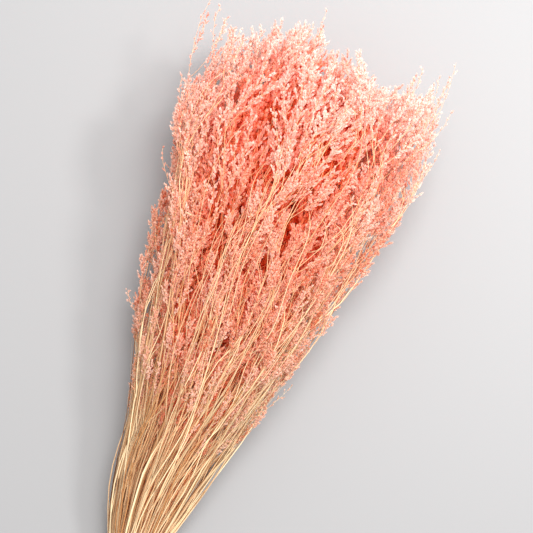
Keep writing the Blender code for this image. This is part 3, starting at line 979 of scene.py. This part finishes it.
def addBlades(parts, spotAt, rng):  # dry leaf blades, folded shut, that cross the stems at slight angles
    for _ in range(blades["perPiece"]):
        foot = rng.uniform(*blades["foot"]) * rng.integers(0, 2)  # half of them begin at the cut ends
        end = max(rng.uniform(*blades["end"]), foot + blades["shortest"])
        share = np.linspace(0, 1, blades["rings"])
        stations = foot + (end - foot) * share
        across, up = spotAt(stations)
        fade = ramp(stations, max(foot, bundle["tieStation"] + blades["clearOfTie"]), end - foot)
        turn, bend = rng.uniform(0, tau), rng.uniform(-blades["bend"], blades["bend"])
        aside = blades["stray"] * rng.uniform(*blades["strays"]) * fade
        across = across + aside * np.cos(turn + bend * fade) + blades["offStem"] * cell * cos(turn)
        up = up + blades["strayUp"] * aside * np.sin(turn + bend * fade)
        up = up + blades["offStem"] * cell * sin(turn)
        path = pointAt(*insideDisc(across, up), stations)
        narrow, wide = blades["width"]
        widest = narrow + (wide - narrow) * rng.random() ** 2  # most are narrow
        width = widest * (0.35 + 0.65 * np.sin(pi * (0.2 + 0.78 * share)))  # lance-shaped
        tones = toned(rng.uniform(*blades["tones"]), depthIn(path))
        tubes(parts, path[None], width[None] / 2, 4, bladeSlot, tones[None],
              roll=rng.uniform(0, pi), flatness=blades["thickness"], capped=True)


def grassPiece(index):
    parts = Parts()
    drawn = Random(bundle["seed"] + index)
    phase = drawn.uniform(0.0, tau)
    startJitter = drawn.uniform(-bundle["sprayStartSpread"], bundle["sprayStartSpread"])
    rng = np.random.default_rng(bundle["seed"] + index)
    spot = spots[index]
    tip = tipStation(index)
    onTop = plumes["frontStart"] * max(spot[1], 0.0) * float(ramp(spot[0], *plumes["frontFrom"]))
    sprayStart = max(tip - bundle["sprayLength"], bundle["lowestSpray"]) + startJitter + onTop

    def ownSpot(station):  # the solid's own stem
        fade = np.minimum(np.abs(station - bundle["tieStation"]) / bundle["waveFade"], 1.0)
        turn = tau * station / bundle["waveLength"] + phase
        sway = bundle["wave"] * fade * fade
        return (spot[0] + sway * np.sin(turn),
                spot[1] + sway * bundle["waveUp"] * np.cos(bundle["waveUpTurns"] * turn))

    grown = [growStem(parts, ownSpot, tip, sprayStart, rng.uniform(*stems["ownTones"]), rng)]
    besides = stems["perPiece"] - 1
    for k in range(besides):
        angle = tau * k / besides + rng.uniform(0, stems["besideTurn"])
        beside = stems["besideRadius"] * cell * np.array((cos(angle), sin(angle)))
        swayPhase = rng.uniform(0, tau, 2)
        swayLength = stems["restlessLength"] * rng.uniform(*stems["swayLengths"])
        quickSway = stems["quickSway"] * rng.uniform(*stems["quickSways"])
        quickLength = stems["quickLength"] * rng.uniform(*stems["swayLengths"])

        def besideSpot(station):
            across, up = ownSpot(station)
            fade = np.clip(np.abs(station - bundle["tieStation"]) / bundle["waveFade"], 0, 1) ** 2
            turn = tau * station / swayLength
            quick = quickSway * np.sin(tau * station / quickLength + swayPhase[1])
            across = across + beside[0] + fade * (stems["restless"] * np.sin(turn + swayPhase[0]) + quick)
            restlessUp = fade * stems["restlessUp"] * stems["restless"]
            return across, up + beside[1] + restlessUp * np.sin(turn + swayPhase[1])

        besideTip = tip + rng.uniform(*stems["besideTip"])
        if k == 0:
            besideTip = max(besideTip, rng.uniform(*stems["tallTip"]))
        besideSpray = bundle["sprayLength"] * rng.uniform(*stems["besideSpray"])
        besideStart = max(besideTip - besideSpray, bundle["lowestSpray"])
        besideStart += rng.uniform(*plumes["startSpread"]) + onTop
        if rng.random() < plumes["lateShare"]:
            besideStart += plumes["lateBy"]
        tone = rng.uniform(*stems["besideTones"])
        grown.append(growStem(parts, besideSpot, besideTip, besideStart, tone, rng))
    addStalks(parts, spot, tip, rng)
    addBlades(parts, ownSpot, rng)
    grown += [growStray(parts, stray, ownSpot, rng) for stray in strays if nearestSpot(stray) == index]
    bare = np.concatenate([np.append(np.full(len(lines) - 1, plumes["bare"]), 0.0) for lines, _ in grown])
    lines = np.concatenate([lines for lines, _ in grown])
    number = addPlumes(parts, lines, bare, np.concatenate([sizes for _, sizes in grown]), rng)
    piece = makePiece(f"loveGrass_{index + 1:02d}", parts, grassMaterials)
    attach(piece, "root")
    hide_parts(f"grass_stem_{index + 1:02d}")
    return piece, number


def trianglesOf(piece):
    return sum(len(face.vertices) - 2 for face in piece.data.polygons)


grassTriangles = grassSpikelets = 0
for index in range(bundle["stemCount"]):
    piece, number = grassPiece(index)
    grassTriangles += trianglesOf(piece)
    grassSpikelets += number
print("grass made:", grassTriangles, "triangles,", grassSpikelets, "spikelets")


# The tie: four turns of two-ply jute twine, a knot on top, and two short ends with frayed tips.
tie = {
    "turns": 4,
    "turnPoints": 90,
    "plies": 2,
    "plyRadius": 0.00056,
    "plyOffset": 0.00048,
    "twist": 0.0068,  # metres for a full twist
    "step": 0.0007,  # metres between rings
    "sides": 6,
    "plyTones": (0.3, 0.7),
    "knotTurn": radians(40),
    "knotSize": (0.0036, 0.0032, 0.0026),
    "knotRise": 0.4,  # how far its middle stands off the twine, as a share of its height
    "knotPoints": 80,
    "endLengths": (0.017, 0.021),
    "endTurns": (radians(-38), radians(46)),
    "endCurl": 0.35,
    "endPoints": 24,
}
fray = {
    "strands": 7,
    "length": 0.0045,
    "lengths": (0.5, 1.0),
    "foot": 0.0003,  # how much the feet vary, then the directions and the middles
    "splay": 0.28,
    "kink": 0.0004,
    "radii": (0.00022, 0.00016, 0.00006),
    "tones": (0.3, 1.0),
    "upright": (0.0, 1.0, 0.1),
}
fuzz = {
    "strands": 260,
    "lengths": (0.0012, 0.0032),
    "splay": 0.7,
    "kink": 0.00012,
    "end": 0.0003,
    "radii": 0.000045 * np.array((1.0, 0.8, 0.4)),
    "tones": (0.5, 1.0),
    "upright": (0.1, 1.0, 0.1),
}


def evenly(path, step):  # the same path with its points evenly spaced
    run = np.concatenate(([0.0], np.cumsum(np.linalg.norm(np.diff(path, axis=0), axis=1))))
    places = np.linspace(0, run[-1], max(int(run[-1] / step), 4))
    return np.stack([np.interp(places, run, path[:, k]) for k in range(3)], -1), places


def addTwine(parts, path, rng):  # returns points on its surface and the directions out of it
    points, run = evenly(path, tie["step"])
    ahead = unit(np.gradient(points, axis=0))
    side = unit(np.cross(ahead, (0.0, 1.0, 0.1)))
    other = np.cross(ahead, side)
    for ply in range(tie["plies"]):
        turn = (tau * run / tie["twist"] + tau * ply / tie["plies"])[:, None]
        out = np.cos(turn) * side + np.sin(turn) * other
        radii = np.full((1, len(points)), tie["plyRadius"])
        tones = np.array([[rng.uniform(*tie["plyTones"]), 0.0]])
        tubes(parts, (points + tie["plyOffset"] * out)[None], radii, tie["sides"], 0, tones,
              capped=True, upright=(0.0, 1.0, 0.1))
    return points, out


def addFibres(parts, kind, starts, middles, tips, rng):
    tones = toned(rng.uniform(*kind["tones"], kind["strands"]), 0.0)
    radii = np.broadcast_to(kind["radii"], (kind["strands"], 3))
    tubes(parts, np.stack((starts, middles, tips), 1), radii, 3, 0, tones, upright=kind["upright"])


def twineTie():
    parts = Parts()
    rng = np.random.default_rng(bundle["seed"])
    centre = pointAt(0.0, 0.0, bundle["tieStation"])
    ringRadius = (tieInner + tieOuter) / 2
    turn = np.linspace(0, tau * tie["turns"], tie["turnPoints"] * tie["turns"]) + tie["knotTurn"]
    along = bundle["twineDiameter"] * (turn - turn.mean()) / tau
    ringPath = centre + np.stack((ringRadius * np.sin(turn), along, ringRadius * np.cos(turn)), -1)
    surfaces = [addTwine(parts, ringPath, rng)]
    outward = np.array((sin(tie["knotTurn"]), 0.0, cos(tie["knotTurn"])))
    level = np.array((cos(tie["knotTurn"]), 0.0, -sin(tie["knotTurn"])))
    knotMiddle = centre + (tieOuter + tie["knotRise"] * tie["knotSize"][2]) * outward
    t = np.linspace(0, tau, tie["knotPoints"])[:, None]  # a trefoil, as an overhand knot is
    wide, long, high = (size - tie["plyRadius"] for size in tie["knotSize"])
    across = wide * (np.sin(t) + 2 * np.sin(2 * t)) / 3
    lengthwise = long * (np.cos(t) - 2 * np.cos(2 * t)) / 3
    up = -high * np.sin(3 * t) * 0.7
    knotPath = knotMiddle + across * level + lengthwise * (0.0, 1.0, 0.0) + up * outward
    surfaces.append(addTwine(parts, knotPath, rng))
    strands = (fray["strands"], 3)
    for length, lean in zip(tie["endLengths"], tie["endTurns"]):
        share = np.linspace(0.0, 1.0, tie["endPoints"])
        angle = lean * (1 + tie["endCurl"] * share) + tie["knotTurn"]
        away = np.stack((np.sin(angle), 0 * angle, np.cos(angle)), -1)
        end = knotMiddle + length * share[:, None] * away
        surfaces.append(addTwine(parts, end, rng))
        ahead = unit(end[-1] - end[-3])
        starts = np.repeat(end[-1][None], strands[0], 0) + rng.normal(0, fray["foot"], strands)
        lengths = fray["length"] * rng.uniform(*fray["lengths"], (strands[0], 1))
        tips = starts + lengths * unit(ahead + rng.normal(0, fray["splay"], strands))
        middles = (starts + tips) / 2 + rng.normal(0, fray["kink"], strands)
        addFibres(parts, fray, starts, middles, tips, rng)
    points = np.concatenate([surface[0] for surface in surfaces])
    outs = np.concatenate([surface[1] for surface in surfaces])
    strands = (fuzz["strands"], 3)
    picked = rng.integers(0, len(points), strands[0])
    away = outs[picked] * rng.choice((-1.0, 1.0), (strands[0], 1))
    away = unit(away + rng.normal(0, fuzz["splay"], strands))
    starts = points[picked] + away * tie["plyOffset"]
    lengths = rng.uniform(*fuzz["lengths"], (strands[0], 1))
    middles = starts + 0.5 * lengths * away + rng.normal(0, fuzz["kink"], strands)
    tips = starts + lengths * away + rng.normal(0, fuzz["end"], strands)
    addFibres(parts, fuzz, starts, middles, tips, rng)
    piece = makePiece("juteTwineTie", parts, [juteTwine()])
    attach(piece, "root")
    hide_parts("twine_tie")
    return trianglesOf(piece)


print("tie made:", twineTie(), "triangles")


# Camera: straight down on the bundle, which leans to the right in the picture.
view = {
    "roll": radians(22),
    "centre": (0.0135, 0.0917),
    "height": 1.26,
    "focusHeight": 0.06,
    "width": 0.490,  # of the picture at focusHeight
}
camera = bpy.data.objects.new("camera", bpy.data.cameras.new("camera"))
camera.location = (*view["centre"], view["height"])
camera.rotation_euler = (0, 0, view["roll"])
camera.data.lens = camera.data.sensor_width * (view["height"] - view["focusHeight"]) / view["width"]
scene.collection.objects.link(camera)
bpy.context.scene.camera = camera


# Table and light: a mid grey table under bright light, so that it shows nearly white, an even bright
# room, a small window on the right, and a wide skylight over the tips.
studio = {
    "tableSize": 16.0,
    "tableColour": "#979696",
    "tableRoughness": 0.8,
    "roomColour": "#F4F4F6",
    "roomStrength": 0.9,
    "windowPower": 11.0,
    "windowSize": 0.20,
    "windowPlace": (0.624, 0.716, 1.0),
    "skylightPower": 41.0,
    "skylightSize": 1.0,
    "skylightPlace": (0.08, 0.80, 1.6),
    "lightsAimAt": (0, 0.05, 0.05),
    "bounces": 24,  # light goes deep into pale dense sprays
    "insideBounces": 16,
}

half = studio["tableSize"] / 2
tableMesh = bpy.data.meshes.new("table")
corners = [(-half, -half, 0), (half, -half, 0), (half, half, 0), (-half, half, 0)]
tableMesh.from_pydata(corners, [], [(0, 1, 2, 3)])
table = bpy.data.objects.new("table", tableMesh)
scene.collection.objects.link(table)
# Smooth board with a matt coat of paint, so that nothing mirrors in it.
paintedBoard, tree = newMaterial("paintedBoard")
board = addNode(tree, "BsdfPrincipled", {
    "Base Color": linear(studio["tableColour"]), "Roughness": studio["tableRoughness"]})
addSurface(tree, board)
tableMesh.materials.append(paintedBoard)

world = bpy.data.worlds.new("room")
world.use_nodes = True
room = world.node_tree.nodes["Background"]
room.inputs["Color"].default_value = linear(studio["roomColour"])
room.inputs["Strength"].default_value = studio["roomStrength"]
scene.world = world

for name in ("window", "skylight"):
    light = bpy.data.objects.new(name, bpy.data.lights.new(name, "AREA"))
    light.data.energy = studio[name + "Power"]
    light.data.size = studio[name + "Size"]
    light.location = studio[name + "Place"]
    aim = light.location - Vector(studio["lightsAimAt"])
    light.rotation_euler = aim.to_track_quat("Z", "Y").to_euler()
    scene.collection.objects.link(light)
scene.view_settings.view_transform = "Standard"
scene.cycles.max_bounces = studio["bounces"]
scene.cycles.diffuse_bounces = studio["insideBounces"]
scene.cycles.transmission_bounces = studio["insideBounces"]
print("camera, table and light set")
